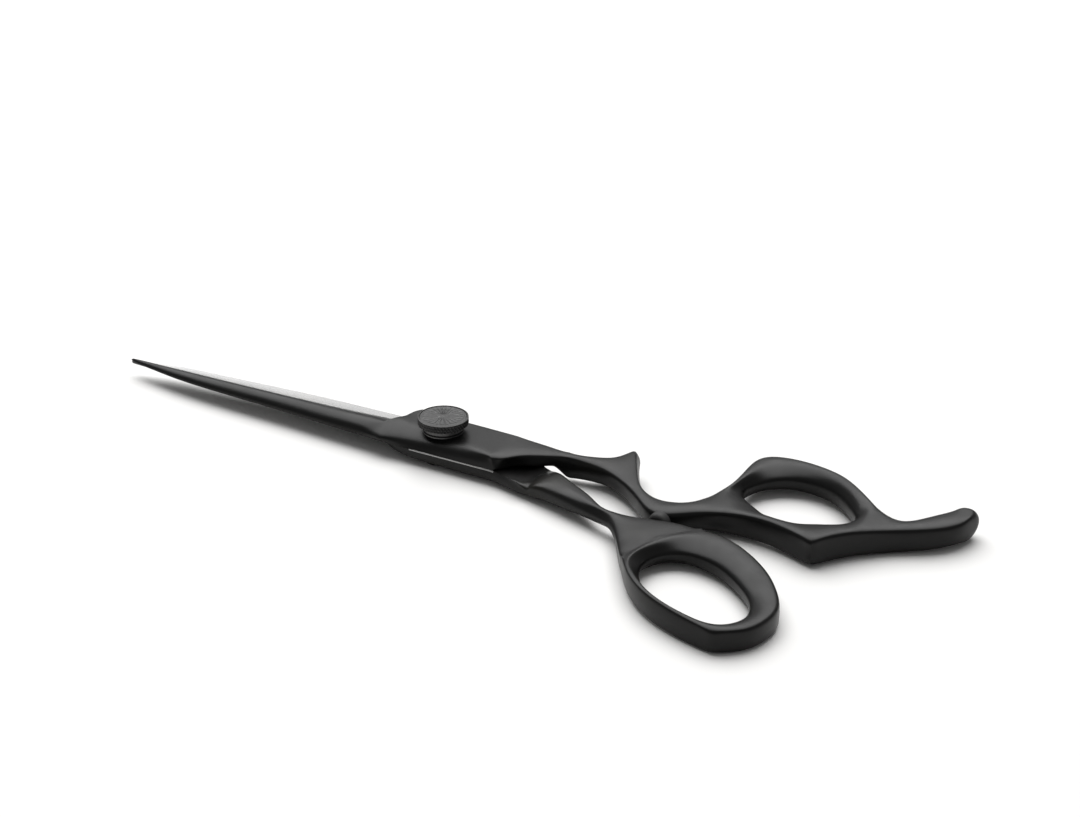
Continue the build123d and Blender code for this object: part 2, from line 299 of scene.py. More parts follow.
def turned_over(point):
    """A point of the thumb half, which is drawn lap face down like the finger half."""
    return Vector((point[0], -point[1], 2 * LAP_Z - point[2]))


def surface(name, cage, materials, place=None):
    """Finished mesh of a cage: the cage is moved until its smooth surface meets its points.
    The place is a function that takes a drawn point to the real one."""
    drop_unused(cage)
    targets = [(place(p) if place else p) * MM for p in cage.points]
    mesh = bpy.data.meshes.new(name)
    mesh.from_pydata(targets, [], cage.quads)
    creases = mesh.attributes.new("crease_edge", "FLOAT", "EDGE")
    for edge in mesh.edges:
        creases.data[edge.index].value = cage.creases.get(tuple(sorted(edge.vertices)), 0)
    for i in cage.bare_quads:
        mesh.polygons[i].material_index = 1
    piece = add_piece(name, mesh, materials)
    modifier = piece.modifiers.new("Surface", "SUBSURF")
    modifier.levels = 1
    for _ in range(FIT_ROUNDS):
        smooth = evaluated(piece)
        for vertex, target in zip(mesh.vertices, targets):
            vertex.co += target - smooth.vertices[vertex.index].co
        mesh.update()
    modifier.levels = SUBDIVISIONS
    finished = bpy.data.meshes.new_from_object(evaluated_object(piece))
    piece.modifiers.clear()
    piece.data = finished
    finished.name = name
    shade(piece)
    return piece


# ---- Meshes ---------------------------------------------------------------------------
def evaluated_object(piece):
    bpy.context.view_layer.update()
    return piece.evaluated_get(bpy.context.evaluated_depsgraph_get())


def evaluated(piece):
    return evaluated_object(piece).data


def add_piece(name, mesh, materials):
    """An object of the scene with its materials."""
    for material in materials:
        mesh.materials.append(material)
    piece = bpy.data.objects.new(name, mesh)
    bpy.context.scene.collection.objects.link(piece)
    return piece


def shade(piece):
    """Normals outward, smooth shading, sharp where the surface turns."""
    work = bmesh.new()
    work.from_mesh(piece.data)
    bmesh.ops.recalc_face_normals(work, faces=work.faces)
    work.to_mesh(piece.data)
    work.free()
    piece.data.shade_smooth()
    piece.data.set_sharp_from_angle(angle=SHARP_ANGLE)


def turned(name, rows, columns, material, place=None, open_bore=False):
    """Solid of revolution about Z from rows of (radius at an angle, height at an angle). Its
    ends are closed, or the last row is joined to the first one round an open bore."""
    points, faces = [], []
    for radius, z in rows:
        for i in range(columns):
            angle = 2 * pi * i / columns
            x, y = radius(angle) * cos(angle), radius(angle) * sin(angle)
            points.append(Vector((x, y, z(angle))) * MM)
    bands = len(rows) if open_bore else len(rows) - 1
    for band in range(bands):
        lower, upper = band * columns, (band + 1) % len(rows) * columns
        for i in range(columns):
            j = (i + 1) % columns
            faces.append((lower + i, lower + j, upper + j, upper + i))
    ends = () if open_bore else (0, bands * columns)
    for first in ends:
        middle = sum((points[first + i] for i in range(columns)), Vector()) / columns
        points.append(middle)
        for i in range(columns):
            faces.append((first + i, first + (i + 1) % columns, len(points) - 1))
    mesh = bpy.data.meshes.new(name)
    mesh.from_pydata([place @ p for p in points] if place else points, [], faces)
    piece = add_piece(name, mesh, [material])
    shade(piece)
    return piece


def steady(value):
    return lambda angle: value


def steady_rows(rows):
    """Rows whose radius and height are the same all round."""
    return [(steady(radius), steady(z)) for radius, z in rows]


# ---- Holes for the pivot and the stop: (radius, lower end, upper end) in millimetres --
HOLE_FIT = 0.02         # a hole's radius is this much larger
HOLE_COLUMNS = 96
FINGER_HOLES = [(3.6, 2.5, 3.55), (2.8, 3.3, 6.5)]  # the bushing's flange and its body
THUMB_HOLES = [(3.8, -1, 1.3), (4.6, 2.85, 3.5)]    # the bolt's head, the washer between
BOLT_NECK = 4.4         # side of the bolt's square neck
BOLT_NECK_ENDS = (1, 3.2)
STOP_COLUMNS = 64
PAST_STOP = 3.0         # how far the stop's hole goes on, out of the shank


def hole(radius, low, high, columns=HOLE_COLUMNS, place=None):
    """Cutter along Z for a plain hole."""
    rows = steady_rows([(radius + HOLE_FIT, low), (radius + HOLE_FIT, high)])
    return turned("hole", rows, columns, None, place)


def bored(piece, cutters):
    """Cuts the holes out of a finished piece."""
    for cutter in cutters:
        modifier = piece.modifiers.new("Hole", "BOOLEAN")
        modifier.operation, modifier.solver, modifier.object = "DIFFERENCE", "EXACT", cutter
        cut = bpy.data.meshes.new_from_object(evaluated_object(piece))
        piece.modifiers.clear()
        piece.data = cut
        cut.name = piece.name
        bpy.data.objects.remove(cutter)
    shade(piece)
    return piece


def round_about_y(node):
    """Radius and length in millimetres of a node that is round about Y, and the place that
    lays a piece drawn up from the origin along minus Y from the node's far end."""
    low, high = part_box(node)
    base = Matrix.Translation(((low.x + high.x) / 2, high.y, (low.z + high.z) / 2))
    place = base @ Matrix.Rotation(pi / 2, 4, "X")
    return (high.x - low.x) / 2 / MM, (high.y - low.y) / MM, place


def holes_for_stop():
    """Holes along Y for the rubber stop and its stud in the finger half."""
    cutters = []
    for node, past in (("bumper", PAST_STOP), ("bumper_stud", 0.0)):
        radius, length, place = round_about_y(node)
        cutters.append(hole(radius, 0, length + past, STOP_COLUMNS, place))
    return cutters


# ---- The two halves -------------------------------------------------------------------
def handle_edges(left_round, right_round):
    """Creases along the four edges of a handle."""
    left, right = rounded(left_round), rounded(right_round)
    return {CROWN_L: left, LAP_L: left, CROWN_R: right, LAP_R: right}


def handle(cage, last, stations, top, under, rounds, edges):
    """Loops of a handle through its left and right plan points, with a bulge where given."""
    for left, right, *bulge in stations:
        x = (left[0] + right[0]) / 2
        points = section(left, right, top(x), under(x), *rounds, *bulge)
        last = cage.grow(last, points, edges)
    return last


def finger_dish(y):
    return -(DISH + FAR_DISH * share_of(y, 3, 11))


def thumb_dish(y):
    return DISH + FAR_DISH * share_of(y, 28, 18)


def finger_half(coating, steel):
    """Upper blade, pivot block, shank with the finger rest, finger ring and tang."""
    def top(x):
        return height(FINGER_TOP, x)

    def under(x):
        return height(FINGER_UNDER, x)

    cage = Cage()
    foot = [(-9.75, 1.4, FACE_Z + 1.35), (-10.35, -0.3, FACE_Z + 2.05),
            (-11.1, -1.65, FACE_Z + 2.34), (-11, -5.2, FACE_Z + 1.18), (-10.8, -5.45, FACE_Z),
            (-10.2, -1, FACE_Z + 0.03), (-9, 3.6, FACE_Z), (-9.35, 2.6, FACE_Z + 0.75)]
    shoulder = [(-8.1, 5.55, CROWN_Z), (-9.15, 2.2, CROWN_Z), (-9.9, -0.9, CROWN_Z - 0.03),
                (-9.3, -4.9, FACE_Z + 1.37), (-9.2, -5.45, FACE_Z), (-8.6, -0.6, FACE_Z),
                (-8.1, 5.55, FACE_Z), (-8.1, 5.55, FACE_Z + 1.22)]
    last = blade_and_shoulder(cage, FINGER_BLADE, foot, shoulder)

    # Pivot block: x, far edge, ridge; then its corner over the notch
    block_edges = {LAP_R: 1, LAP_L: 1, CROWN_L: 0.6, CROWN_R: 0.36}
    for x, far, ridge in ((-4, 5.4, -1.45), (4, 5.15, -2.95), (10.5, 5.0, -3.85)):
        last = cage.grow(last, block_loop(x, far, ridge, -5.4), block_edges, LAP_QUADS)
    half_rise = FACE_Z + 0.5 * BLOCK_RISE
    corner = [(13.6, 4.82, 5.36), (13.4, 0.4, 5.46), (13.1, -4.5, 5.47), (13.75, -5.2, half_rise),
              (13.9, -5.45, FACE_Z), (13.7, -0.1, FACE_Z), (13.6, 4.9, FACE_Z),
              (13.6, 4.9, half_rise)]
    last = cage.grow(last, corner, block_edges, LAP_QUADS)
    cage.crease_across(last, (CROWN_R, SIDE_R, LAP_R), 0.7)

    # Waist, still on the lap plane
    waist = [((15.3, 4.82), (15.1, -3.7)), ((18, 4.65), (17.4, -1.1)),
             ((20.95, 4.42), (21.3, 1.05))]
    waist_edges = {LAP_R: 0.8, LAP_L: 0.8, CROWN_L: 0.5, CROWN_R: 0.33}
    for left, right in waist:
        points = section(left, right, top(left[0]), FACE_Z, 0.35, 0.8)
        points[LAP_L], points[LAP_R] = (*left, FACE_Z + EDGE_GAP), (*right, FACE_Z + EDGE_GAP)
        last = cage.grow(last, points, waist_edges, LAP_QUADS)

    # Ramp from the lap plane down to the shank's lower face: left, right, lower face
    ramp = [((22.06, 4.38), (22.54, 1.6), 2.65), ((23.28, 4.37), (23.7, 2.0), 1.65),
            ((24.4, 4.43), (24.8, 2.2), 0.95)]
    for left, right, low in ramp:
        points = section(left, right, top(left[0]), low, 0.4, 0.9)
        last = cage.grow(last, points, {CROWN_L: 0.45, CROWN_R: 0.3})

    # Shank, the spike of the finger rest, and the saddle behind it
    rounds = (0.6, 1.3)
    shank = [((26.4, 4.78), (26.6, 2.35)), ((30, 6.2), (30.3, 2.4)), ((32.2, 8.4), (33.1, 1.95))]
    last = handle(cage, last, shank, top, under, rounds, handle_edges(*rounds))
    spike = section((33.9, 10.9), (35.2, 1.15), 4.95, 1.1, *rounds)
    spike[CROWN_L] = (33.6, 11.3, 4.75)
    spike[SIDE_L] = (34.8, 10.9, 3.3)
    spike[LAP_L] = (34.5, 9.8, 1.6)
    last = cage.grow(last, spike, handle_edges(*rounds))
    cage.crease_across(last, (LAP_L, SIDE_L, CROWN_L), 0.4)
    saddle = [((36.3, 8.1), (37, 0.1), 0.95), ((38.3, 4.5), (39.3, -1.6), 0.9),
              ((41.2, 0.4), (42.2, -4.1), 0.7), ((45.2, -2.1), (45.6, -6.8), 0.4),
              ((48.6, -2.1), (49.3, -7.3), 0.3), ((51.2, -0.5), (53.4, -4.7), 0.3)]
    last = handle(cage, last, saddle, top, under, (0.8, 1.3), handle_edges(0.7, 1.3))

    # Finger ring: outer and inner plan points all round
    stations = [((53.3, 2.9), (57.2, 7.4)), ((54.1, 7.8), (56.3, 10)), ((53.9, 14.2), (57.3, 13.2)),
                ((54.6, 20.8), (59.6, 16)), ((60.2, 22.75), (63, 17.7)), ((66.2, 21.9), (67.2, 17.7)),
                ((71.4, 19.8), (71.2, 16)), ((76.4, 15.9), (74.6, 12.9)), ((80.2, 12.6), (76.9, 10.2)),
                ((81.6, 7.8), (77.4, 7.6)), ((81.2, 2.8), (76.4, 5.4)), ((78.2, -0.9), (74.8, 3.8)),
                ((75.4, -4.5), (72.4, 2.6)), ((70.4, -3.2), (69.4, 1.3)), ((64.2, -1.9), (65.2, 1.5)),
                ((57.9, -2.3), (61.6, 3.6)), ((55.6, 0.3), (59.2, 5.3))]
    to_shank, to_tang, near_corner = (0, 16, 15), (8, 9, 10), 12
    middles = (to_shank[1], to_tang[1])
    loops = ring(cage, stations, top, under, middles, CROWN_R, finger_dish)
    close_ring(cage, loops, [to_shank, to_tang])
    opening = branch_boundary(loops, *to_shank)
    cage.skin(last, opening)
    cage.crease_along(last, opening, handle_edges(0.8, 1.3))
    cage.crease_across(loops[near_corner], (LAP_L, SIDE_L, CROWN_L), 0.5)

    # Tang
    rounds = (1.2, 1.2)
    tang = [((84.3, 11.25), (85.2, 6.3)), ((87.2, 12.9), (88.9, 8.7)), ((89.4, 16.1), (92.2, 11.3)),
            ((91.4, 19.2), (94.6, 14.5)), ((93.0, 20.9), (95.6, 17.8))]
    last = branch_boundary(loops, *to_tang)
    last = handle(cage, last, tang, top, under, rounds, handle_edges(*rounds))
    cage.cap(last, (95.4, 20.6, 3.2))

    forging = surface("finger_half_forging", cage, [coating, steel])
    return bored(forging, [hole(*size) for size in FINGER_HOLES] + holes_for_stop())


def thumb_half(coating, steel):
    """Lower blade, pivot block, shank and thumb ring. It is drawn turned over about the lap
    plane, as turned_over() says: y is minus the real y, and the crown is the real underside."""
    def crown(x):
        return 2 * LAP_Z - height(THUMB_UNDER, x)

    def lap(x):
        return 2 * LAP_Z - height(THUMB_TOP, x)

    cage = Cage()
    foot = [(-11.2, 2.7, FACE_Z + 1.2), (-11.1, 0.4, FACE_Z + 2.05),
            (-11.1, -1.65, FACE_Z + 2.34), (-11, -5.35, FACE_Z + 1.18), (-10.8, -5.6, FACE_Z),
            (-10.8, -0.8, FACE_Z + 0.03), (-11, 4.35, FACE_Z), (-11.1, 3.95, FACE_Z + 0.4)]
    shoulder = [(-8, 4.7, FACE_Z + 1.2), (-8.6, 2.2, CROWN_Z - 0.2), (-9.6, -0.9, CROWN_Z - 0.05),
                (-9.3, -5.05, FACE_Z + 1.37), (-9.2, -5.6, FACE_Z), (-8.6, -0.3, FACE_Z),
                (-7.8, 5.3, FACE_Z), (-7.9, 5.34, FACE_Z + 0.05)]
    last = blade_and_shoulder(cage, THUMB_BLADE, foot, shoulder)

    # Pivot block: x, ridge, rise of the crown's left edge, bare quads
    block = [(-4, -2.8, 1.75, LAP_QUADS), (4, -3.3, 2.05, LIP_QUADS), (11, -3.8, 2.1, LIP_QUADS)]
    block_edges = {LAP_R: 1, LAP_L: 1, CROWN_L: 0.2, CROWN_R: 0.5}
    for x, ridge, left_rise, bare in block:
        points = block_loop(x, 5.55, ridge, -5.6)
        points[CROWN_L] = (x, 5.1, FACE_Z + left_rise)
        points[LAP_L] = (x, 5.44, FACE_Z + LIP_GAP)
        points[SIDE_L] = (x, 5.54, FACE_Z + 2 * LIP_GAP)
        last = cage.grow(last, points, block_edges, bare)

    # Floor of the notch: left, right, height of the lip, depth of the scoop, bare quads
    notch = [((14, 5.6), (14, -5.2), 0.2, 0, (LAP_L,)), ((17.5, 6.35), (17, -3.3), 0.4, 0.5, ()),
             ((20.3, 7.05), (20.9, -0.9), 0.8, 0.7, ())]
    for left, right, lip, scoop, bare in notch:
        points = section(left, right, crown(left[0]), FACE_Z, 1.2, 0.7)
        points[LAP_M] = (*(Vector(left) + Vector(right)) / 2, FACE_Z + scoop)
        points[LAP_L] = (left[0], left[1] - 0.15, FACE_Z)
        points[LAP_R] = (*right, FACE_Z + LIP_GAP)
        points[SIDE_L] = (*left, FACE_Z + lip)
        last = cage.grow(last, points, {LAP_R: 0.9, LAP_L: 0.8}, bare)

    # Ramp up from the notch: left, right, lap face
    ramp = [((21.8, 7.35), (22.8, -0.3), 2.9), ((22.9, 7.65), (23.9, 0.5), 2.4),
            ((24.1, 7.9), (25.1, 1.35), 1.95)]
    for left, right, low in ramp:
        points = section(left, right, crown(left[0]), low, 1.5, 0.7)
        last = cage.grow(last, points, {LAP_L: 0.1, LAP_R: 0.3})
    shank = [((26, 8.35), (26.9, 2.4)), ((29, 9.2), (30, 4.35)), ((33, 10.3), (34.4, 6.8)),
             ((37, 11.3), (38.2, 9.3)), ((40.2, 12.35), (41.2, 10.05)), ((42.6, 14), (44.4, 10.1)),
             ((45, 16.9), (48, 9.45)), ((47.2, 20), (52.2, 8.75))]
    last = handle(cage, last, shank, crown, lap, (1.8, 0.8), handle_edges(2.0, 0.9))

    # Thumb ring: outer and inner plan points all round
    stations = [((57, 8.4), (58.8, 15.7)), ((62.2, 9.3), (63.6, 16.6)), ((67.4, 11.7), (67.3, 18.6)),
                ((72, 15.1), (70.7, 21.3)), ((75.8, 19.2), (73.3, 24.2)), ((79.0, 24.5), (74.7, 27.2)),
                ((79.5, 29.5), (74.9, 30)), ((77.9, 34.2), (73.8, 32.6)), ((73.6, 37.65), (71.6, 34.2)),
                ((68.4, 36.9), (67.6, 34.3)), ((63, 35.2), (63.4, 33.1)), ((57.8, 32.5), (59.4, 31)),
                ((53.2, 28.4), (55.8, 27.9)), ((49.8, 24), (53.1, 22.5)), ((52.2, 15.2), (54.6, 17.6))]
    to_shank, near_corner = (13, 14, 0), 8
    loops = ring(cage, stations, crown, lap, to_shank[1:2], LAP_R, thumb_dish)
    close_ring(cage, loops, [to_shank])
    opening = branch_boundary(loops, *to_shank)
    cage.skin(last, opening)
    cage.crease_along(last, opening, handle_edges(1.0, 0.9))
    cage.crease_across(loops[near_corner], (LAP_L, SIDE_L, CROWN_L), 0.45)

    forging = surface("thumb_half_forging", cage, [coating, steel], place=turned_over)
    neck = hole(BOLT_NECK / sqrt(2), *BOLT_NECK_ENDS, 4, Matrix.Rotation(pi / 4, 4, "Z"))
    return bored(forging, [hole(*size) for size in THUMB_HOLES] + [neck])


# ---- Tension dial and its disc --------------------------------------------------------
KNURL_COUNT = 48
KNURL_DEPTH = 0.3
KNURL_ROWS = 12
KNURL_PITCHES = 1.25    # diamonds from the lower to the upper edge of the rim
DIAL_COLUMNS = KNURL_COUNT * 6
DIAL_RIM = 1.6          # height of the rim
DIAL_COLLAR_R = 3.75
DIAL_BORE_R = 1.34
DIAL_CAVITY_R = 2.0     # room for the screw's head over the threaded web
DIAL_WEB = 0.55         # thickness of that web
RECESS_DEPTH = 0.4      # depth of the recess for the disc
RECESS_GAP = 0.04       # gap round the disc
RAY_COUNT = 24
RAY_DEPTH = 0.075
RAY_START, RAY_FULL = 0.12, 0.27    # shares of the disc's radius where the rays fade in
RAY_FADING, RAY_END = 0.78, 0.9     # and where they fade out
SHORT_RAY_START, SHORT_RAY_FULL = 0.5, 0.7
DISC_ROWS = 26
DISC_DOME = 0.05


def saw(turns):
    """Triangle wave from 0 to 1 and back in each turn."""
    share = turns % 1
    return 1 - abs(2 * share - 1)


def knurl_radius(radius, height_share):
    """Radius round a rim that two crossing sets of slanting grooves cut into diamonds."""
    def at(angle):
        along = KNURL_COUNT * angle / (2 * pi)
        rise = KNURL_PITCHES * height_share
        return radius - KNURL_DEPTH * (1 - min(saw(along + rise), saw(along - rise)) ** 0.7)
    return at


def round_about_z(node):
    """Radius, lowest and highest point in millimetres of a node that is round about Z."""
    low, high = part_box(node)
    return (high.x - low.x) / 2 / MM, low.z / MM, high.z / MM


def tension_dial(material):
    """Wheel with a collar below, a knurled rim, a bevel and a recess for the disc."""
    radius, bottom, top = round_about_z("tension_dial")
    recess = round_about_z("dial_cap")[0] + RECESS_GAP
    rim_bottom, web_top = top - DIAL_RIM, bottom + DIAL_WEB
    rows = steady_rows([(DIAL_BORE_R, bottom), (DIAL_COLLAR_R, bottom), (DIAL_COLLAR_R, rim_bottom),
                        (radius - 0.35, rim_bottom), (radius - 0.17, rim_bottom + 0.1)])
    knurl_low, knurl_high = rim_bottom + 0.14, top - 0.3
    for i in range(KNURL_ROWS + 1):
        share = i / KNURL_ROWS
        z = knurl_low + share * (knurl_high - knurl_low)
        rows.append((knurl_radius(radius, share), steady(z)))
    rows += steady_rows([(radius - 0.14, top - 0.27), (radius - 0.05, top - 0.22),
                         (radius - 0.06, top - 0.14), (radius - 0.32, top - 0.03),
                         (radius - 0.38, top), (recess, top - 0.04), (recess, top - RECESS_DEPTH),
                         (DIAL_CAVITY_R, top - RECESS_DEPTH), (DIAL_CAVITY_R, web_top),
                         (DIAL_BORE_R, web_top)])
    return turned("dial_wheel", rows, DIAL_COLUMNS, material, open_bore=True)


def dial_disc(material):
    """Slightly domed disc with plain tapering rays pressed into it round a smooth middle."""
    radius, under, high = round_about_z("dial_cap")
    face = high - DISC_DOME
    rows = steady_rows([(radius, under), (radius, face - 0.06), (radius - 0.05, face - 0.01)])
    for i in range(DISC_ROWS, 0, -1):
        share = i / (DISC_ROWS + 1)

        def level(angle, share=share):
            dome = DISC_DOME * (1 - share * share)
            fade = min(share_of(share, RAY_START, RAY_FULL), share_of(share, RAY_END, RAY_FADING))
            ray = saw(RAY_COUNT * angle / (2 * pi)) ** 1.4
            short_fade = share_of(share, SHORT_RAY_START, SHORT_RAY_FULL)
            short_ray = saw(2 * RAY_COUNT * angle / (2 * pi)) * short_fade
            return face + dome - RAY_DEPTH * fade * (1 - ray) - RAY_DEPTH / 3 * fade * short_ray
        rows.append((steady(radius * share), level))
    return turned("dial_disc", rows, RAY_COUNT * 12, material)


# ---- Rubber stop ----------------------------------------------------------------------
STOP_DOME = 0.75        # rounding of the stop's end
STOP_DOME_STEPS = 8


def rubber_stop(material):
    """Turned stop with a domed end that has a dimple in it, its axis along minus Y."""
    radius, length, place = round_about_y("bumper")
    rows = [(0.86, 0), (radius - 0.06, 0), (radius, 0.06)]
    for i in range(STOP_DOME_STEPS + 1):
        angle = pi / 2 * i / STOP_DOME_STEPS
        rows.append((radius - STOP_DOME + STOP_DOME * cos(angle),
                     length - STOP_DOME + STOP_DOME * sin(angle)))
    rows += [(0.62, length - 0.01), (0.5, length - 0.06), (0.42, length - 0.22), (0.1, length - 0.25)]
    return turned("rubber_stop", steady_rows(rows), STOP_COLUMNS, material, place)


# ---- Materials ------------------------------------------------------------------------
def set_range(node, start, end, low, high):
    """Makes a Map Range node go from low to high as its value goes from start to end."""
    numbers = {"From Min": start, "From Max": end, "To Min": low, "To Max": high}
    for socket, number in numbers.items():
        node.inputs[socket].default_value = number


class Shader:
    """A procedural material on object coordinates, so that it stays with its piece."""

    def __init__(self, name, **settings):
        self.material = bpy.data.materials.new(name)
        self.material.use_nodes = True
        self.nodes, self.links = self.material.node_tree.nodes, self.material.node_tree.links
        self.surface = self.nodes["Principled BSDF"]
        for socket, value in settings.items():
            self.surface.inputs[socket.replace("_", " ")].default_value = value
        self.place = self.nodes.new("ShaderNodeTexCoord").outputs["Object"]

    def stretched(self, scale):
        node = self.nodes.new("ShaderNodeMapping")
        node.inputs["Scale"].default_value = scale
        self.links.new(self.place, node.inputs["Vector"])
        return node.outputs["Vector"]

    def noise(self, scale, detail=3.0, roughness=0.5, stretch=(1, 1, 1)):
        node = self.nodes.new("ShaderNodeTexNoise")
        node.inputs["Scale"].default_value = scale
        node.inputs["Detail"].default_value = detail
        node.inputs["Roughness"].default_value = roughness
        self.links.new(self.stretched(stretch), node.inputs["Vector"])
        return node.outputs["Fac"]

    def ramp(self, value, stops):
        """Colour ramp through stops of (position, colour)."""
        node = self.nodes.new("ShaderNodeValToRGB")
        ends = node.color_ramp.elements
        for element, (position, colour) in zip(ends, (stops[0], stops[-1])):
            element.position, element.color = position, (*colour, 1)
        for position, colour in stops[1:-1]:
            ends.new(position).color = (*colour, 1)
        self.links.new(value, node.inputs["Fac"])
        return node.outputs["Color"]

    def between(self, value, low, high, start=0.3, end=0.7):
        """Goes from low to high as the value goes from start to end."""
        node = self.nodes.new("ShaderNodeMapRange")
        set_range(node, start, end, low, high)
        self.links.new(value, node.inputs["Value"])
        return node.outputs["Result"]

    def edges(self):
        """Above 0.5 on outward edges."""
        return self.nodes.new("ShaderNodeNewGeometry").outputs["Pointiness"]

    def mix(self, share, one, two):
        node = self.nodes.new("ShaderNodeMix")
        node.data_type = "RGBA"
        self.links.new(share, node.inputs["Factor"])
        self.links.new(one, node.inputs["A"])
        self.links.new(two, node.inputs["B"])
        return node.outputs["Result"]

    def colour(self, value):
        self.links.new(value, self.surface.inputs["Base Color"])

    def gloss(self, value):
        self.links.new(value, self.surface.inputs["Roughness"])

    def bump(self, value, depth):
        """Bump in metres, on top of the bumps before it."""
        node = self.nodes.new("ShaderNodeBump")
        node.inputs["Distance"].default_value = depth
        self.links.new(value, node.inputs["Height"])
        previous = self.surface.inputs["Normal"]
        if previous.is_linked:
            self.links.new(previous.links[0].from_socket, node.inputs["Normal"])
        self.links.new(node.outputs["Normal"], previous)


def grey(level, warmth=0.0):
    """A grey, warmer or cooler by a share of its level."""
    return (level * (1 + warmth), level, level * (1 - warmth))


def black_coating():
    """Satin black coating, faintly olive where it is thin, rubbed lighter on its sharp edges."""
    shader = Shader("black_coating", Metallic=0.0, Specular_IOR_Level=0.21)
    clouds = shader.noise(55, 4, 0.55)
    thin = (0.0075, 0.0068, 0.0042)
    body = shader.ramp(clouds, [(0.32, grey(0.0030)), (0.6, grey(0.0042, 0.05)), (0.8, thin)])
    wear_and_glint = shader.ramp(shader.noise(900, 2), [(0.4, grey(0.012, 0.05)), (0.7, grey(0.035, 0.05))])
    shader.colour(shader.mix(shader.between(shader.edges(), 0.0, 0.5, 0.57, 0.68), body, wear_and_glint))
    shader.gloss(shader.between(shader.noise(240, 4, 0.6), 0.31, 0.40))
    shader.bump(shader.noise(5200, 2, 0.6), 0.000003)
    shader.bump(shader.noise(420, 2), 0.000008)
    return shader.material


def black_dial():
    """Grained black of the dial, lighter on the knurl points and sharp edges: wear and painted glints.
    """
    shader = Shader("black_dial", Metallic=0.0, Specular_IOR_Level=0.45)
    grains = shader.noise(2600, 3, 0.6)
    body = shader.ramp(grains, [(0.35, grey(0.006)), (0.7, grey(0.014, 0.02))])
    # Lighter grey on the points and edges: wear together with painted glints.
    wear_and_glint = shader.ramp(grains, [(0.3, grey(0.05)), (0.8, grey(0.12, 0.03))])
    shader.colour(shader.mix(shader.between(shader.edges(), 0.0, 0.9, 0.54, 0.62), body, wear_and_glint))
    shader.gloss(shader.between(shader.noise(1500, 3), 0.36, 0.50))
    shader.bump(grains, 0.000008)
    return shader.material


def bare_steel():
    """Inner faces of the blades, ground bright with fine marks along the blade."""
    shader = Shader("bare_steel", Metallic=1.0)
    brushed = shader.noise(420, 3, 0.6, (1, 14, 14))
    tint = shader.ramp(shader.noise(70, 3), [(0.3, grey(0.25, -0.01)), (0.7, grey(0.30, 0.012))])
    shader.colour(tint)
    shader.gloss(shader.between(brushed, 0.24, 0.32))
    shader.bump(brushed, 0.0000012)
    return shader.material


def turned_steel():
    """Near-black steel of the pivot parts, painted shade for the gap under the dial; fine turning
    marks.
    """
    shader = Shader("turned_steel", Metallic=0.0, Specular_IOR_Level=0.12)
    marks = shader.noise(3000, 2, 0.5, (1, 1, 0.2))
    # Near-black colour: painted shade for the gap under the dial.
    shader.colour(shader.ramp(marks, [(0.3, grey(0.004)), (0.7, grey(0.008, 0.01))]))
    shader.gloss(shader.between(marks, 0.4, 0.52))
    shader.bump(marks, 0.000005)
    return shader.material


def bearing_bronze():
    """Bronze with fine grains, for the bushing."""
    shader = Shader("bearing_bronze", Metallic=1.0)
    grains = shader.noise(1800, 4, 0.6)
    shader.colour(shader.ramp(grains, [(0.3, (0.42, 0.29, 0.14)), (0.7, (0.58, 0.42, 0.22))]))
    shader.gloss(shader.between(grains, 0.35, 0.55))
    shader.bump(grains, 0.000008)
    return shader.material


def nylon():
    """Milky nylon, for the washer between the halves."""
    shader = Shader("nylon", Metallic=0.0, Subsurface_Weight=0.1)
    grains = shader.noise(1200, 3)
    shader.colour(shader.ramp(grains, [(0.3, (0.66, 0.65, 0.60)), (0.7, (0.76, 0.75, 0.71))]))
    shader.gloss(shader.between(grains, 0.45, 0.6))
    shader.bump(grains, 0.000006)
    return shader.material


def black_rubber():
    """Dull rubber with fine grains, for the stop."""
    shader = Shader("black_rubber", Metallic=0.0, Specular_IOR_Level=0.35)
    grains = shader.noise(1700, 4, 0.65)
    shader.colour(shader.ramp(grains, [(0.3, grey(0.018)), (0.75, grey(0.034, 0.02))]))
    shader.gloss(shader.between(grains, 0.55, 0.75))
    shader.bump(grains, 0.00002)
    return shader.material


# ---- Floor, light and camera, in metres -----------------------------------------------
FLOOR_REACH = 4.0
FLOOR_COLOUR = (0.86, 0.855, 0.845, 1)
KEY_PLACE = (-0.42, 0.57, 1.25)
KEY_SIZE, KEY_POWER = 1.7, 36
SKY_HORIZON, SKY_OVERHEAD = 0.3, 0.22   # strength
SKY_TOP = 0.8           # height on the unit sphere from which the one overhead holds
CAMERA_PLACE = (206.636, -317.757, 187.682)     # in millimetres
CAMERA_LOOK = (-0.45758, 0.78097, -0.42509)
CAMERA_LENS, CAMERA_SENSOR = 76.667, 36


def floor(lowest):
    mesh = bpy.data.meshes.new("floor")
    corners = [(-FLOOR_REACH, -FLOOR_REACH, lowest), (FLOOR_REACH, -FLOOR_REACH, lowest),
               (FLOOR_REACH, FLOOR_REACH, lowest), (-FLOOR_REACH, FLOOR_REACH, lowest)]
    mesh.from_pydata(corners, [], [(0, 1, 2, 3)])
    shader = Shader("floor", Roughness=0.9, Specular_IOR_Level=0.1, Base_Color=FLOOR_COLOUR)
    add_piece("floor", mesh, [shader.material])


def soft_light(name, place, size, power):
    """Square light that faces the origin."""
    light = bpy.data.lights.new(name, "AREA")
    light.size, light.energy = size, power
    lamp = bpy.data.objects.new(name, light)
    lamp.location = place
    lamp.rotation_euler = (-Vector(place)).to_track_quat("-Z", "Y").to_euler()
    bpy.context.scene.collection.objects.link(lamp)


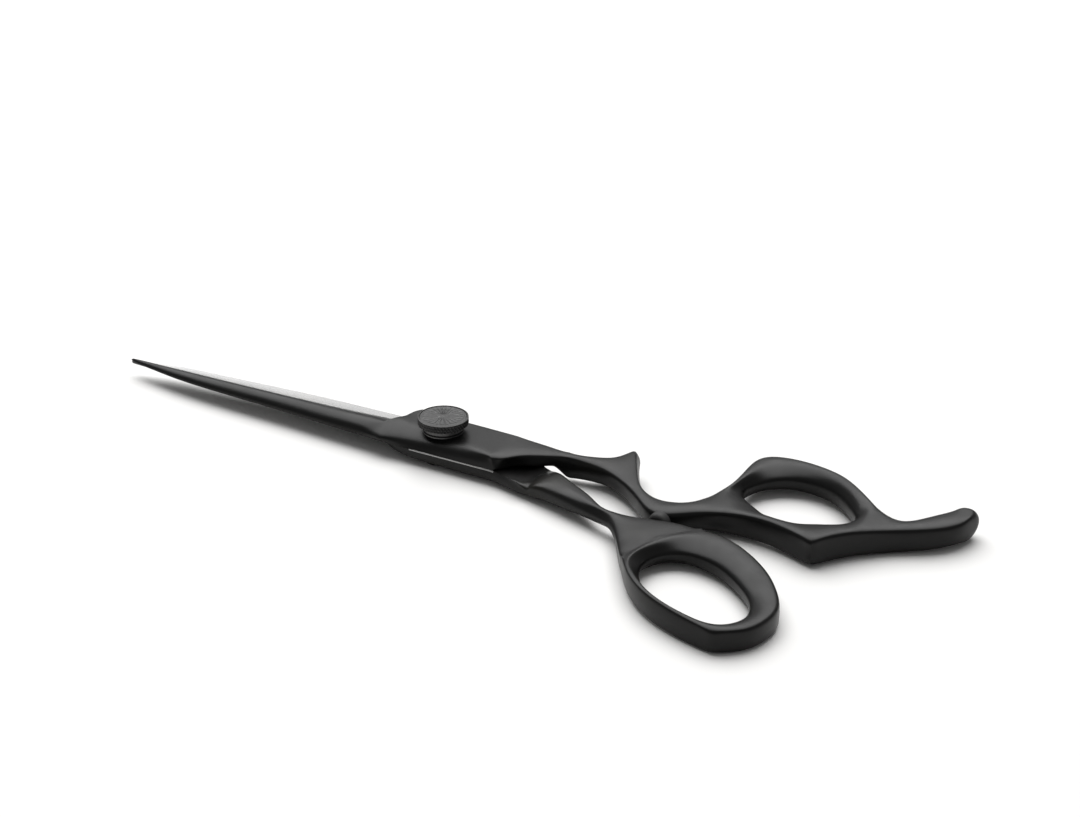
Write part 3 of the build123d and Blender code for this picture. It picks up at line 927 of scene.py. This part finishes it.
def sky(horizon, overhead):
    """Pale surroundings whose strength goes from the horizon's to the one overhead."""
    world = bpy.data.worlds.new("studio")
    world.use_nodes = True
    bpy.context.scene.world = world
    nodes, links = world.node_tree.nodes, world.node_tree.links
    direction = nodes.new("ShaderNodeTexCoord").outputs["Generated"]
    split = nodes.new("ShaderNodeSeparateXYZ")
    links.new(direction, split.inputs["Vector"])
    rise = nodes.new("ShaderNodeMapRange")
    set_range(rise, 0.0, SKY_TOP, horizon, overhead)
    links.new(split.outputs["Z"], rise.inputs["Value"])
    links.new(rise.outputs["Result"], nodes["Background"].inputs["Strength"])
    nodes["Background"].inputs["Color"].default_value = (1, 1, 1, 1)


def camera():
    data = bpy.data.cameras.new("camera")
    data.lens, data.sensor_width = CAMERA_LENS, CAMERA_SENSOR
    data.clip_start, data.clip_end = 0.01, 20
    eye = bpy.data.objects.new("camera", data)
    eye.location = Vector(CAMERA_PLACE) * MM
    eye.rotation_euler = Vector(CAMERA_LOOK).to_track_quat("-Z", "Y").to_euler()
    bpy.context.scene.collection.objects.link(eye)
    bpy.context.scene.camera = eye


# ---- Assembly -------------------------------------------------------------------------
camera()
floor(cad_low[2])
sky(SKY_HORIZON, SKY_OVERHEAD)
soft_light("key", KEY_PLACE, KEY_SIZE, KEY_POWER)
bpy.context.scene.view_settings.view_transform = "Standard"

# By material slot. The pivot parts have the slot bare_steel; their near-black steel is painted shade
# for the gap under the dial. The bright bare steel is only on the inner faces of the two halves.
finishes = {"black_coating": black_coating(), "black_dial": black_dial(),
            "bare_steel": turned_steel(), "bearing_bronze": bearing_bronze(),
            "nylon": nylon(), "black_rubber": black_rubber()}
polished = bare_steel()

# Piece, the node that it stands for, its body and its material slot
pieces = [
    (finger_half(finishes["black_coating"], polished), "finger_half", "finger_half", "black_coating"),
    (thumb_half(finishes["black_coating"], polished), "thumb_half", "thumb_half", "black_coating"),
    (tension_dial(finishes["black_dial"]), "tension_dial", "dial", "black_dial"),
    (dial_disc(finishes["black_dial"]), "dial_cap", "dial", "black_dial"),
    (rubber_stop(finishes["black_rubber"]), "bumper", "finger_half", "black_rubber")]
replaced = set()
for piece, node, body, slot in pieces:
    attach(piece, body)
    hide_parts(node)
    replaced.add(node)

for subpart in frame["record"]["subparts"]:
    if subpart["node"] not in replaced:
        for holder in frame["nodes"][subpart["node"]].material_slots:
            holder.material = finishes[subpart["material_slot"]]
